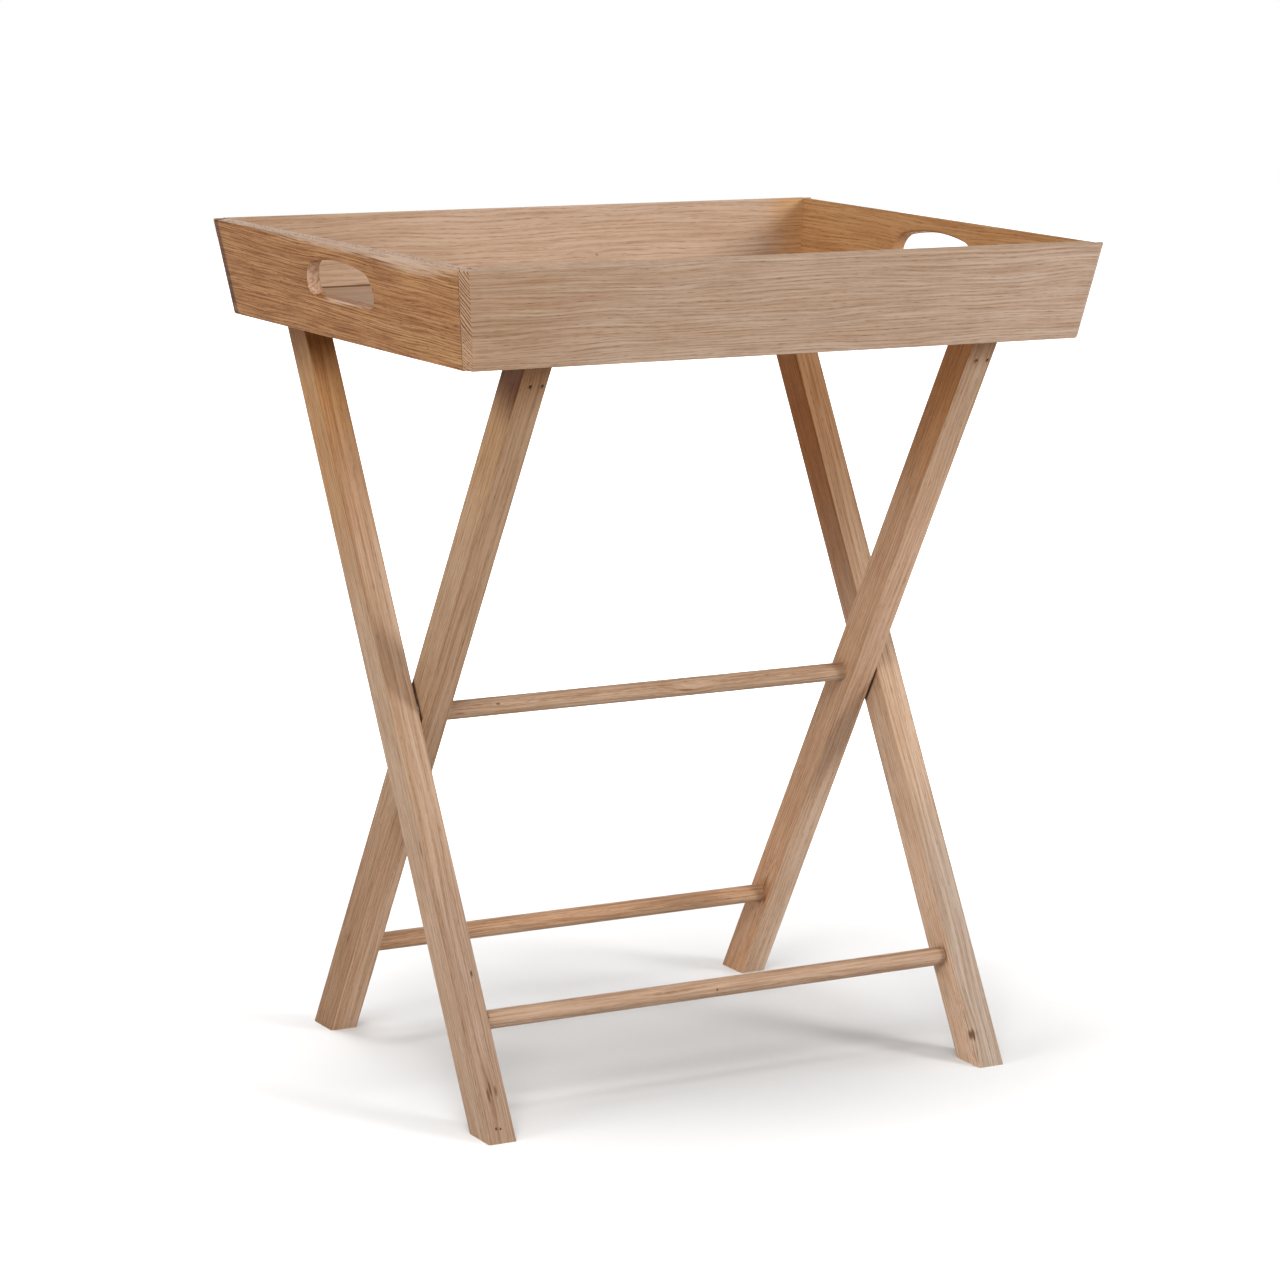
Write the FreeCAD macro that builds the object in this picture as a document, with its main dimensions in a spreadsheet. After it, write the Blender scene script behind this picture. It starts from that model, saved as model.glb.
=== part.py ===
"""Butler's tray table: a loose tray with leaning sides on a folding stand of two crossed leg frames.

X runs along the tray, -Y is the front and +Z is up. The origin is on the floor under the table's middle.
The stand and the tray look the same when turned half round about Z, so most pieces are drawn on their
front or left side, and their opposite number is the same piece turned half round.
"""
import FreeCAD, Part
import os
import Sketcher

SIZES = {
    # stand
    "seat_height": 648,
    "pivot_height": 318.5,
    "leg_width": 31.5,
    "leg_thickness": 25.3,
    "leg_arris": 1.5,
    "frame_gap": 2,
    "rail_width": 35,
    "rail_depth": 15,
    "rail_arris": 2,
    "rung_diameter": 16,
    "rung_height": 85.1,
    "rung_chamfer": 1,
    "socket_depth": 15,
    "socket_end_gap": 0.5,
    "spacer_diameter": 26,
    "nail_width": 2,
    "nail_length": 31,
    "nail_sink": 1,
    "nail_spacing": 11,
    "nail_shift": 2.7,
    "nail_drop": 15.5,
    "nail_tilt": 30,
    # tray
    "tray_length": 580,
    "tray_width": 446,
    "board_rise": 80,
    "board_thickness": 12,
    "end_lean": 9,
    "side_lean": 11,
    "corner_rebate": 5.5,
    "corner_flat_share": 0.88,
    "rim_arris": 1.5,
    "foot_arris": 0.8,
    "floor_recess": 11,
    "floor_thickness": 8,
    "bearer_height": 10,
    "bearer_width": 18,
    "grip_length": 122.8,
    "grip_height": 34,
    "grip_arch": 240,
    "grip_corner_share": 0.385,
    "grip_shoulder_share": 0.69,
    "grip_arris": 2,
    "left_grip_sill": 33,
    "left_grip_shift": 8.2,
    "right_grip_sill": 34.2,
    "right_grip_shift": 2.3,
    # fits
    "glue_gap": 0.05,
    "turning_gap": 0.08,
    "spacer_play": 0.2,
    "spacer_bore_gap": 0.5,
    "rail_play": 0.5,
    "stand_end_gap": 9.3,
}

HALF_TURN = FreeCAD.Rotation(FreeCAD.Vector(0, 0, 1), 180)
NO_TURN = FreeCAD.Rotation()
OVERCUT = 20
LONG_EDGE_SHARE = 0.5
NEAR = 1e-4

doc = FreeCAD.newDocument("tray_table")
sizes = doc.addObject("Spreadsheet::Sheet", "sizes")
for row, (alias, number) in enumerate(SIZES.items(), start=1):
    sizes.set(f"A{row}", alias)
    sizes.set(f"B{row}", str(number))
    sizes.setAlias(f"B{row}", alias)
doc.recompute()

parts = []


def value(expression):
    """The number that an expression of the sheet's sizes gives now."""
    return float(sizes.evalExpression(expression))


# Heights and faces that several pieces share, as expressions of the driving sizes.
TRAY_FOOT = "(sizes.seat_height - sizes.floor_recess)"
TRAY_RIM = f"({TRAY_FOOT} + sizes.board_rise)"
FLOOR_TOP = "(sizes.seat_height + sizes.floor_thickness)"
LIP = "(sizes.board_thickness - sizes.corner_rebate)"
GRIP_HALF = "(sizes.grip_length / 2)"
GRIP_UPRIGHT = f"(sizes.grip_height - sizes.grip_arch + sqrt(sizes.grip_arch ^ 2 - {GRIP_HALF} ^ 2))"


def side_face(height, depth="0"):
    """Distance from the middle to a plane inside a long board, some depth in from its outer face."""
    return f"(sizes.tray_width / 2 + ({height} - {TRAY_FOOT}) * tan(sizes.side_lean)" \
           f" - ({depth}) / cos(sizes.side_lean))"


def end_face(height, depth="0"):
    """The same for an end board."""
    return f"(sizes.tray_length / 2 + ({height} - {TRAY_FOOT}) * tan(sizes.end_lean)" \
           f" - ({depth}) / cos(sizes.end_lean))"


# The stand is made to the tray: its top rails fit between the floor bearers, and that sets the legs' lean.
SIDE_BEARER_FACE = f"({side_face('sizes.seat_height', 'sizes.board_thickness')} - sizes.bearer_width)"
END_BEARER_FACE = f"({end_face('sizes.seat_height', 'sizes.board_thickness')} - sizes.bearer_width)"
RAIL_FOOT = "(sizes.seat_height - sizes.rail_depth)"
RAIL_EDGE = f"({SIDE_BEARER_FACE} - sizes.rail_play)"
RAIL_CENTRE = f"({RAIL_EDGE} - sizes.rail_width / 2)"
LEG_LEAN = f"(atan({RAIL_CENTRE} / ({RAIL_FOOT} - sizes.pivot_height)) / 1 deg)"
OUTER_LEG_X = f"({END_BEARER_FACE} - sizes.stand_end_gap - sizes.leg_thickness / 2)"
INNER_LEG_X = f"({OUTER_LEG_X} - sizes.leg_thickness - sizes.frame_gap)"
OUTER_LEG_INSIDE = f"({OUTER_LEG_X} - sizes.leg_thickness / 2)"
INNER_LEG_INSIDE = f"({INNER_LEG_X} - sizes.leg_thickness / 2)"
SOCKET = "(sizes.rung_diameter + 2 * sizes.glue_gap)"
TURNING_BORE = "(sizes.rung_diameter + 2 * sizes.turning_gap)"
RUNG_FALL = "(sizes.pivot_height - sizes.rung_height)"
RUNG_OUT = f"({RUNG_FALL} * tan({LEG_LEAN}))"
NAIL_HOLE_HALF = "(sizes.nail_width / 2 + sizes.glue_gap)"
NAIL_HEIGHT = f"({RAIL_FOOT} - sizes.nail_drop)"
NAIL_FACE = f"(({NAIL_HEIGHT} - sizes.pivot_height) * tan({LEG_LEAN})" \
            f" + sizes.leg_width / 2 / cos({LEG_LEAN}))"


def rung_length(leg_inside):
    """Length of a rung that reaches into the sockets of two legs, almost to the bottom."""
    return f"(2 * ({leg_inside} + sizes.socket_depth - sizes.socket_end_gap))"


def tip_over(item, way, angle):
    """Turns an object about X, its top to the front for a way of 1 and to the back for -1."""
    item.Placement.Rotation = FreeCAD.Rotation(FreeCAD.Vector(way, 0, 0), value(angle))
    item.setExpression("Placement.Rotation.Angle", angle)


def new_body(label, position=("0", "0", "0"), rotation=NO_TURN):
    body = doc.addObject("PartDesign::Body", label)
    body.Label = label
    body.Placement = FreeCAD.Placement(FreeCAD.Vector(0, 0, 0), rotation)
    for axis, expression in zip("xyz", position):
        body.setExpression(f"Placement.Base.{axis}", expression)
    parts.append(body)
    return body


def new_sketch(body, name, role, offset=("0", "0", "0"), tilt=None):
    """A sketch on one of the body's own planes, moved by an offset and tilted about its own X axis.

    tilt is the way, 1 or -1 by the right hand rule, and the angle.
    """
    sketch = body.newObject("Sketcher::SketchObject", f"{body.Name}_{name}")
    plane = next(f for f in body.Origin.OriginFeatures if f.Role == role)
    sketch.AttachmentSupport = (plane, [""])
    sketch.MapMode = "FlatFace"
    if tilt is not None:
        way, angle = tilt
        turn = FreeCAD.Rotation(FreeCAD.Vector(way, 0, 0), value(angle))
        sketch.AttachmentOffset = FreeCAD.Placement(FreeCAD.Vector(0, 0, 0), turn)
        sketch.setExpression("AttachmentOffset.Rotation.Angle", angle)
    for axis, expression in zip("xyz", offset):
        sketch.setExpression(f"AttachmentOffset.Base.{axis}", expression)
    return sketch


def bind(sketch, constraint, expression):
    index = sketch.addConstraint(constraint)
    name = f"size{index}"
    sketch.renameConstraint(index, name)
    sketch.setExpression(f"Constraints.{name}", expression)


def bind_point(sketch, geometry, point, corner):
    """Holds a point of the sketch at two bound distances from the sketch's origin."""
    for kind, expression in zip(("DistanceX", "DistanceY"), corner):
        bind(sketch, Sketcher.Constraint(kind, -1, 1, geometry, point, value(expression)), expression)


def add_outline(sketch, corners):
    """A closed outline of straight lines through corners given as expressions."""
    first = sketch.GeometryCount
    places = [FreeCAD.Vector(value(x), value(y), 0) for x, y in corners]
    count = len(corners)
    for index in range(count):
        sketch.addGeometry(Part.LineSegment(places[index], places[(index + 1) % count]))
    for index in range(count):
        following = first + (index + 1) % count
        sketch.addConstraint(Sketcher.Constraint("Coincident", first + index, 2, following, 1))
        bind_point(sketch, first + index, 1, corners[index])


def add_square(sketch, middle, half):
    """A square on the sketch's X axis, given how far out its middle is and half its width."""
    add_outline(sketch, [(f"{middle} - {half}", f"-{half}"), (f"{middle} + {half}", f"-{half}"),
                         (f"{middle} + {half}", half), (f"{middle} - {half}", half)])


def add_circle(sketch, centre, diameter):
    place = FreeCAD.Vector(value(centre[0]), value(centre[1]), 0)
    circle = sketch.addGeometry(Part.Circle(place, FreeCAD.Vector(0, 0, 1), value(diameter) / 2))
    bind_point(sketch, circle, 3, centre)
    bind(sketch, Sketcher.Constraint("Diameter", circle, value(diameter)), diameter)


def pad(body, sketch, length):
    """A pad to both sides of its sketch."""
    feature = body.newObject("PartDesign::Pad", f"{sketch.Name}_pad")
    feature.Profile = sketch
    feature.SideType = "Symmetric"
    feature.setExpression("Length", length)
    return feature


def pocket(body, sketch, depth=None, backwards=False):
    """A cut against the sketch's normal to a depth, or with it if backwards, or right through both ways."""
    doc.recompute()
    before = body.Shape.Volume
    feature = body.newObject("PartDesign::Pocket", f"{sketch.Name}_cut")
    feature.Profile = sketch
    if depth is None:
        feature.Type = "ThroughAll"
        feature.SideType = "Symmetric"
    else:
        feature.Reversed = backwards
        feature.setExpression("Length", depth)
    doc.recompute()
    if not body.Shape.Volume < before:
        raise RuntimeError(f"{feature.Name} cuts nothing")
    return feature


def round_edges(body, name, radius, wanted):
    """A fillet on every edge of the body's shape so far that the test picks."""
    doc.recompute()
    base = body.Tip
    names = [f"Edge{i}" for i, edge in enumerate(base.Shape.Edges, start=1) if wanted(edge)]
    fillet = body.newObject("PartDesign::Fillet", f"{body.Name}_{name}")
    fillet.Base = (base, names)
    fillet.setExpression("Radius", radius)
    doc.recompute()
    return fillet


def flatten_edges(body, name, size, wanted):
    """A chamfer on every edge of the body's shape so far that the test picks."""
    doc.recompute()
    base = body.Tip
    names = [f"Edge{i}" for i, edge in enumerate(base.Shape.Edges, start=1) if wanted(edge)]
    chamfer = body.newObject("PartDesign::Chamfer", f"{body.Name}_{name}")
    chamfer.Base = (base, names)
    chamfer.setExpression("Size", size)
    doc.recompute()
    return chamfer


def places_on(edge):
    """The start, middle and end of an edge."""
    first, last = edge.FirstParameter, edge.LastParameter
    return [edge.valueAt(first + share * (last - first)) for share in (0, 0.5, 1)]


def all_along(edge, test):
    return all(test(point) for point in places_on(edge))


def near(a, b):
    return abs(a - b) < NEAR


# Tray


def board_section(face, lean, shallow, deep):
    """Corners of a leaning board's section between two depths, on the minus side, its edges square."""
    corners = []
    for depth, order in ((shallow, (TRAY_FOOT, TRAY_RIM)), (deep, (TRAY_RIM, TRAY_FOOT))):
        for level in order:
            height = f"({level} + ({depth}) * sin({lean}))"
            corners.append((f"-{face(height, depth)}", height))
    return corners


def trim_ends(body, name, role, face, depth):
    """Cuts off both ends of a piece along a pair of the tray's leaning faces."""
    sketch = new_sketch(body, name, role)
    low = f"({TRAY_FOOT} - {OVERCUT})"
    high = f"({TRAY_RIM} + {OVERCUT})"
    beyond = face(f"({high} + {OVERCUT})")
    for sign in ("-", ""):
        inner = [(f"{sign}{face(level, depth)}", level) for level in (low, high)]
        outer = [(f"{sign}({beyond} + {OVERCUT})", level) for level in (high, low)]
        add_outline(sketch, inner + outer)
    pocket(body, sketch)


def tray_side(label, rotation):
    """A long board, rebated at its ends for the end boards, with its outer corners planed flat."""
    body = new_body(label, rotation=rotation)
    length = f"(2 * {end_face(TRAY_RIM)} + {OVERCUT})"
    inner_layer = new_sketch(body, "inner_layer", "YZ_Plane")
    add_outline(inner_layer, board_section(side_face, "sizes.side_lean", LIP, "sizes.board_thickness"))
    pad(body, inner_layer, length)
    trim_ends(body, "shoulders", "XZ_Plane", end_face, "sizes.board_thickness + sizes.glue_gap")
    lip_layer = new_sketch(body, "lip_layer", "YZ_Plane")
    add_outline(lip_layer, board_section(side_face, "sizes.side_lean", "0", LIP))
    pad(body, lip_layer, length)
    trim_ends(body, "ends", "XZ_Plane", end_face, "0")

    def on_outer_face(point):
        return near(point.y, -value(side_face(str(point.z))))

    def on_end(point):
        return near(abs(point.x), value(end_face(str(point.z))))

    def across_corner(edge):
        start, _, end = places_on(edge)
        return min(abs(start.x - end.x), abs(start.y - end.y)) > 1 and min(start.z, end.z) > rim - 1

    flatten_edges(body, "corner", f"{LIP} * sizes.corner_flat_share",
                  lambda edge: all_along(edge, lambda p: on_outer_face(p) and on_end(p)))
    rim = value(TRAY_RIM)
    foot = value(TRAY_FOOT)
    inner_rim = value(f"{TRAY_RIM} + sizes.board_thickness * sin(sizes.side_lean)")
    round_edges(body, "rim", "sizes.rim_arris",
                lambda edge: all_along(edge, lambda p: on_outer_face(p) and near(p.z, rim))
                or all_along(edge, lambda p: near(p.z, inner_rim)) or across_corner(edge))
    round_edges(body, "foot", "sizes.foot_arris",
                lambda edge: all_along(edge, lambda p: on_outer_face(p) and near(p.z, foot)))
    return body


def grip_hole(body, sill, shift):
    """The hand hole in an end board, square to its face: flat sill, upright ends and an arched top."""
    up = f"{TRAY_FOOT} + {sill} * cos(sizes.end_lean)"
    out = f"-sizes.tray_length / 2 - {sill} * sin(sizes.end_lean)"
    sketch = new_sketch(body, "grip", "YZ_Plane", (f"-{shift}", up, out), (-1, "sizes.end_lean"))
    corners = [(GRIP_HALF, GRIP_UPRIGHT), (f"-{GRIP_HALF}", GRIP_UPRIGHT),
               (f"-{GRIP_HALF}", "0"), (GRIP_HALF, "0")]
    right, left, left_sill, right_sill = (FreeCAD.Vector(value(x), value(y), 0) for x, y in corners)
    sketch.addGeometry(Part.Arc(right, FreeCAD.Vector(0, value("sizes.grip_height"), 0), left))
    for start, stop in ((left, left_sill), (left_sill, right_sill), (right_sill, right)):
        sketch.addGeometry(Part.LineSegment(start, stop))
    for first, second in ((0, 1), (1, 2), (2, 3), (3, 0)):
        sketch.addConstraint(Sketcher.Constraint("Coincident", first, 2, second, 1))
    for line in (1, 2, 3):
        bind_point(sketch, line, 1, corners[line])
    sketch.addConstraint(Sketcher.Constraint("Vertical", 3))
    bind(sketch, Sketcher.Constraint("Radius", 0, value("sizes.grip_arch")), "sizes.grip_arch")
    pocket(body, sketch)
    return sketch


def tray_end(label, rotation, grip_sill, grip_shift):
    """An end board between the long boards, with its grip hole a little off the middle."""
    body = new_body(label, rotation=rotation)
    section = new_sketch(body, "section", "XZ_Plane")
    add_outline(section, board_section(end_face, "sizes.end_lean", "0", "sizes.board_thickness"))
    pad(body, section, f"(2 * {side_face(TRAY_RIM)} + {OVERCUT})")
    trim_ends(body, "ends", "YZ_Plane", side_face, f"{LIP} + sizes.glue_gap")
    foot = value(TRAY_FOOT)
    rims = (value(TRAY_RIM), value(f"{TRAY_RIM} + sizes.board_thickness * sin(sizes.end_lean)"))
    round_edges(body, "rim", "sizes.rim_arris",
                lambda edge: any(all_along(edge, lambda p: near(p.z, rim)) for rim in rims))
    round_edges(body, "foot", "sizes.foot_arris", lambda edge: all_along(edge, lambda p: near(p.z, foot)))
    to_grip = grip_hole(body, grip_sill, grip_shift).Placement.inverse()
    half = value(GRIP_HALF)

    def at_corner(edge, level):
        """True for an edge through the board at an end of the grip, at that height up the slope."""
        places = [to_grip.multVec(point) for point in places_on(edge)]
        return all(near(abs(place.x), half) and near(place.y, level) for place in places)

    for name, level in (("corner", "0"), ("shoulder", GRIP_UPRIGHT)):
        radius = f"sizes.grip_{name}_share * {GRIP_UPRIGHT}"
        round_edges(body, f"grip_{name}s", radius, lambda edge: at_corner(edge, value(level)))

    def on_grip_rim(edge):
        """True for an edge where the grip's wall meets either face of the board."""
        places = [to_grip.multVec(point) for point in places_on(edge)]
        depth = places[0].z
        on_face = near(depth, 0) or near(depth, value("sizes.board_thickness"))
        around = all(abs(place.x) <= half + NEAR and place.y >= -NEAR
                     and place.y <= value("sizes.grip_height") + NEAR for place in places)
        return on_face and around and all(near(place.z, depth) for place in places)

    round_edges(body, "grip_arris", "sizes.grip_arris", on_grip_rim)
    return body


def tray_floor(label):
    """The floor panel, bevelled all round to lie against the leaning boards."""
    body = new_body(label)
    section = new_sketch(body, "section", "YZ_Plane")
    depth = "sizes.board_thickness + sizes.glue_gap"
    levels = ("sizes.seat_height", FLOOR_TOP)
    left = [(f"-{side_face(level, depth)}", level) for level in levels]
    right = [(side_face(level, depth), level) for level in reversed(levels)]
    add_outline(section, left + right)
    pad(body, section, f"(2 * {end_face(TRAY_RIM)})")
    trim_ends(body, "ends", "XZ_Plane", end_face, depth)
    return body


def bearer_section(face, inner):
    """Corners of a floor bearer on the minus side: upright inside, leaning against the board outside."""
    low = "(sizes.seat_height - sizes.bearer_height)"
    depth = "sizes.board_thickness + sizes.glue_gap"
    return [(f"-{face(low, depth)}", low), (f"-{face('sizes.seat_height', depth)}", "sizes.seat_height"),
            (f"-{inner}", "sizes.seat_height"), (f"-{inner}", low)]


def side_bearer(label, rotation):
    """A floor bearer along a long board, from end board to end board: it also stops a top rail."""
    body = new_body(label, rotation=rotation)
    section = new_sketch(body, "section", "YZ_Plane")
    add_outline(section, bearer_section(side_face, SIDE_BEARER_FACE))
    pad(body, section, f"(2 * {end_face(TRAY_RIM)})")
    trim_ends(body, "ends", "XZ_Plane", end_face, "sizes.board_thickness + sizes.glue_gap")
    return body


def end_bearer(label, rotation):
    """A floor bearer along an end board, between the two long ones."""
    body = new_body(label, rotation=rotation)
    section = new_sketch(body, "section", "XZ_Plane")
    add_outline(section, bearer_section(end_face, END_BEARER_FACE))
    pad(body, section, f"(2 * {SIDE_BEARER_FACE} - 2 * sizes.glue_gap)")
    return body


# Stand


def leg(label, side, across, lean, bores):
    """One leg, level at the floor and under its rail, in its own frame: Z runs up the leg from the pivot.

    side is -1 on the left and 1 on the right, lean is 1 with the top to the front and -1 to the back, and
    bores are (height on the leg, diameter, depth in from the inner side or None for right through).
    """
    body = new_body(label, (f"{side} * {across}", "0", "sizes.pivot_height"))
    tip_over(body, lean, LEG_LEAN)
    half = "sizes.leg_width / 2"
    slope = f"{lean} * {half} * tan({LEG_LEAN})"
    foot = f"(-sizes.pivot_height / cos({LEG_LEAN}))"
    head = f"(({RAIL_FOOT} - sizes.pivot_height) / cos({LEG_LEAN}))"
    outline = new_sketch(body, "outline", "YZ_Plane")
    add_outline(outline, [(f"-{half}", f"{foot} + {slope}"), (f"-{half}", f"{head} + {slope}"),
                          (half, f"{head} - {slope}"), (half, f"{foot} - {slope}")])
    pad(body, outline, "sizes.leg_thickness")
    length = value(f"{head} - {foot}")
    round_edges(body, "arris", "sizes.leg_arris", lambda edge: edge.Length > LONG_EDGE_SHARE * length)
    inner_side = f"{-side} * sizes.leg_thickness / 2"
    for index, (height, diameter, depth) in enumerate(bores):
        sketch = new_sketch(body, f"bore{index}", "YZ_Plane", ("0", "0", inner_side))
        add_circle(sketch, ("0", height), diameter)
        pocket(body, sketch, depth, backwards=side > 0)
    nail_level = f"(({NAIL_HEIGHT} - sizes.pivot_height + {half} * sin({LEG_LEAN})) / cos({LEG_LEAN}))"
    nails = new_sketch(body, "nails", "XY_Plane", ("0", f"{-lean} * {half}", nail_level),
                       (-lean, f"{LEG_LEAN} + sizes.nail_tilt"))
    for sign in "-+":
        add_square(nails, f"({lean} * sizes.nail_shift {sign} sizes.nail_spacing / 2)", NAIL_HOLE_HALF)
    pocket(body, nails)
    return body


def rung(label, length, position):
    """A round rung along X, with chamfered ends."""
    body = new_body(label, position)
    section = new_sketch(body, "section", "YZ_Plane")
    add_circle(section, ("0", "0"), "sizes.rung_diameter")
    pad(body, section, length)
    doc.recompute()
    rims = [f"Edge{i}" for i, edge in enumerate(body.Tip.Shape.Edges, start=1) if edge.isClosed()]
    chamfer = body.newObject("PartDesign::Chamfer", f"{label}_chamfer")
    chamfer.Base = (doc.getObject(f"{section.Name}_pad"), rims)
    chamfer.setExpression("Size", "sizes.rung_chamfer")
    return body


def spacer(label, side):
    """A washer on the pivot rung, against the outer leg."""
    thickness = "(sizes.frame_gap - sizes.spacer_play)"
    body = new_body(label, (f"{side} * ({OUTER_LEG_INSIDE} - {thickness} / 2)", "0", "sizes.pivot_height"))
    ring = new_sketch(body, "ring", "YZ_Plane")
    add_circle(ring, ("0", "0"), "sizes.spacer_diameter")
    add_circle(ring, ("0", "0"), "(sizes.rung_diameter + 2 * sizes.spacer_bore_gap)")
    pad(body, ring, thickness)
    return body


def nail_places(across, way):
    """How far along X the nails of a leg frame stand: a pair in each leg, off its middle to one side."""
    places = []
    for side in (-1, 1):
        middle = f"{side} * {across} + {way} * sizes.nail_shift"
        places += [f"({middle} {sign} sizes.nail_spacing / 2)" for sign in "-+"]
    return places


def top_rail(label, across, rotation):
    """A flat rail on the leg tops of one frame, bored for the nails that come up out of the legs."""
    body = new_body(label, rotation=rotation)
    section = new_sketch(body, "section", "YZ_Plane")
    inner_edge = f"({RAIL_CENTRE} - sizes.rail_width / 2)"
    add_outline(section, [(f"-{RAIL_EDGE}", RAIL_FOOT), (f"-{RAIL_EDGE}", "sizes.seat_height"),
                          (f"-{inner_edge}", "sizes.seat_height"), (f"-{inner_edge}", RAIL_FOOT)])
    length = f"(2 * {across} + sizes.leg_thickness)"
    pad(body, section, length)
    long_enough = LONG_EDGE_SHARE * value(length)
    round_edges(body, "arris", "sizes.rail_arris", lambda edge: edge.Length > long_enough)
    holes = new_sketch(body, "nails", "XY_Plane", ("0", f"-{NAIL_FACE}", NAIL_HEIGHT),
                       (-1, "sizes.nail_tilt"))
    for place in nail_places(across, 1):
        add_square(holes, place, NAIL_HOLE_HALF)
    pocket(body, holes, "sizes.nail_sink + sizes.nail_length + sizes.glue_gap", backwards=True)
    return body


def rail_nails(label, across, way):
    """The square nails of one leg frame, sunk in the legs' outer faces and driven up into the rail.

    way is 1 for the nails at the front and -1 for those at the back.
    """
    half = "sizes.nail_width / 2"
    out = f"({way} * (sizes.nail_sink * sin(sizes.nail_tilt) - {NAIL_FACE}) - {half} * cos(sizes.nail_tilt))"
    up = f"({NAIL_HEIGHT} + sizes.nail_sink * cos(sizes.nail_tilt) + {way} * {half} * sin(sizes.nail_tilt))"
    nails = []
    for index, place in enumerate(nail_places(across, way)):
        nail = doc.addObject("Part::Box", f"{label}_{index}")
        for side, size in (("Length", "width"), ("Width", "width"), ("Height", "length")):
            nail.setExpression(side, f"sizes.nail_{size}")
        for axis, expression in zip("xyz", (f"{place} - {half}", out, up)):
            nail.setExpression(f"Placement.Base.{axis}", expression)
        tip_over(nail, -way, "sizes.nail_tilt")
        nails.append(nail)
    group = doc.addObject("Part::Compound", label)
    group.Links = nails
    group.Label = label
    parts.append(group)
    return group


def check_and_write():
    doc.recompute()
    for item in doc.Objects:
        if "Invalid" in item.State or "Error" in item.State:
            raise RuntimeError(f"{item.Name} failed: {item.State}")
    for item in parts:
        if item.Shape.isNull() or not item.Shape.isValid():
            raise RuntimeError(f"{item.Label} has no valid shape")
    os.makedirs("parts", exist_ok=True)
    for item in parts:
        item.Shape.exportStep(f"parts/{item.Label}.step")


tray_side("tray_front_board", NO_TURN)
tray_side("tray_back_board", HALF_TURN)
tray_end("tray_left_end", NO_TURN, "sizes.left_grip_sill", "sizes.left_grip_shift")
tray_end("tray_right_end", HALF_TURN, "sizes.right_grip_sill", "sizes.right_grip_shift")
tray_floor("tray_floor_panel")
side_bearer("front_floor_bearer", NO_TURN)
side_bearer("back_floor_bearer", HALF_TURN)
end_bearer("left_floor_bearer", NO_TURN)
end_bearer("right_floor_bearer", HALF_TURN)

lower_socket = (f"-{RUNG_FALL} / cos({LEG_LEAN})", SOCKET, "sizes.socket_depth")
for name, side in (("left", -1), ("right", 1)):
    leg(f"inner_leg_{name}", side, INNER_LEG_X, 1, [("0", TURNING_BORE, None), lower_socket])
    leg(f"outer_leg_{name}", side, OUTER_LEG_X, -1, [("0", SOCKET, "sizes.socket_depth"), lower_socket])
    spacer(f"pivot_spacer_{name}", side)
rung("pivot_rung", rung_length(OUTER_LEG_INSIDE), ("0", "0", "sizes.pivot_height"))
rung("outer_lower_rung", rung_length(OUTER_LEG_INSIDE), ("0", f"-{RUNG_OUT}", "sizes.rung_height"))
rung("inner_lower_rung", rung_length(INNER_LEG_INSIDE), ("0", RUNG_OUT, "sizes.rung_height"))
top_rail("inner_top_rail", INNER_LEG_X, NO_TURN)
top_rail("outer_top_rail", OUTER_LEG_X, HALF_TURN)
rail_nails("inner_rail_nails", INNER_LEG_X, 1)
rail_nails("outer_rail_nails", OUTER_LEG_X, -1)

check_and_write()
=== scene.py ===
import math

import bpy
from mathutils import Matrix, Vector

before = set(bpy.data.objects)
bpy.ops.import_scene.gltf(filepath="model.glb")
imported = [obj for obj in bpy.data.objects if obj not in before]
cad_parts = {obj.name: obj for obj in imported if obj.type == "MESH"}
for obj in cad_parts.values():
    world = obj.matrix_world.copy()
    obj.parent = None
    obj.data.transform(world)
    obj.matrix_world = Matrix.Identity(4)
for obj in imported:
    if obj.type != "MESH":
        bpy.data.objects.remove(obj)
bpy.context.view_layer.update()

# Angles of the table, in degrees.
END_LEAN = 9.0
SIDE_LEAN = 11.0
LEG_LEAN = 29.359

# Places on the table, in metres: heights above the floor, then distances from the middle.
TRAY_FOOT_HEIGHT = 0.637
TRAY_FLOOR_HEIGHT = 0.652
BEARER_HEIGHT = 0.643
TOP_RAIL_HEIGHT = 0.6405
PIVOT_HEIGHT = 0.3185
LOWER_RUNG_HEIGHT = 0.0851
END_FOOT = 0.290
SIDE_FOOT = 0.223
OUTER_LEG = 0.23964
INNER_LEG = 0.21234
LOWER_RUNG = 0.1313
TOP_RAIL = 0.1769

# A leg's half section, where marks lie on its left side and front face,
# and how far up from the pivot its nails are, in millimetres.
LEG_HALF_THICKNESS = 12.65
LEG_HALF_WIDTH = 15.75
ON_SIDE = 12.6
ON_FACE = 15.7
NAIL_PLACE = 351.5

# How far along the trunk each next piece of wood is cut, in millimetres, and how shiny the oiled oak is.
CUT_STEP = 137.0
OAK_SHEEN = 0.14

# The tray's rim: how high up a board it starts and is full, in millimetres, and the angle at which fibres run out.
RIM_START, RIM_FULL = 60, 66
RUNOUT_ANGLE = 24

# The studio, in metres: the floor's size, and how far from the table its shading fades and turns plain white.
FLOOR_SIZE = 14
SHADE_FADES, SHADE_ENDS = 0.45, 1.1
# The floor's grey for the camera, the grey that throws light back on the table, and the even light from all round.
FLOOR_GREY = (0.68, 0.68, 0.68, 1)
BOUNCE_GREY = (0.42, 0.42, 0.42, 1)
EVEN_LIGHT = 0.21
WHITE = (1, 1, 1, 1)

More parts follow.
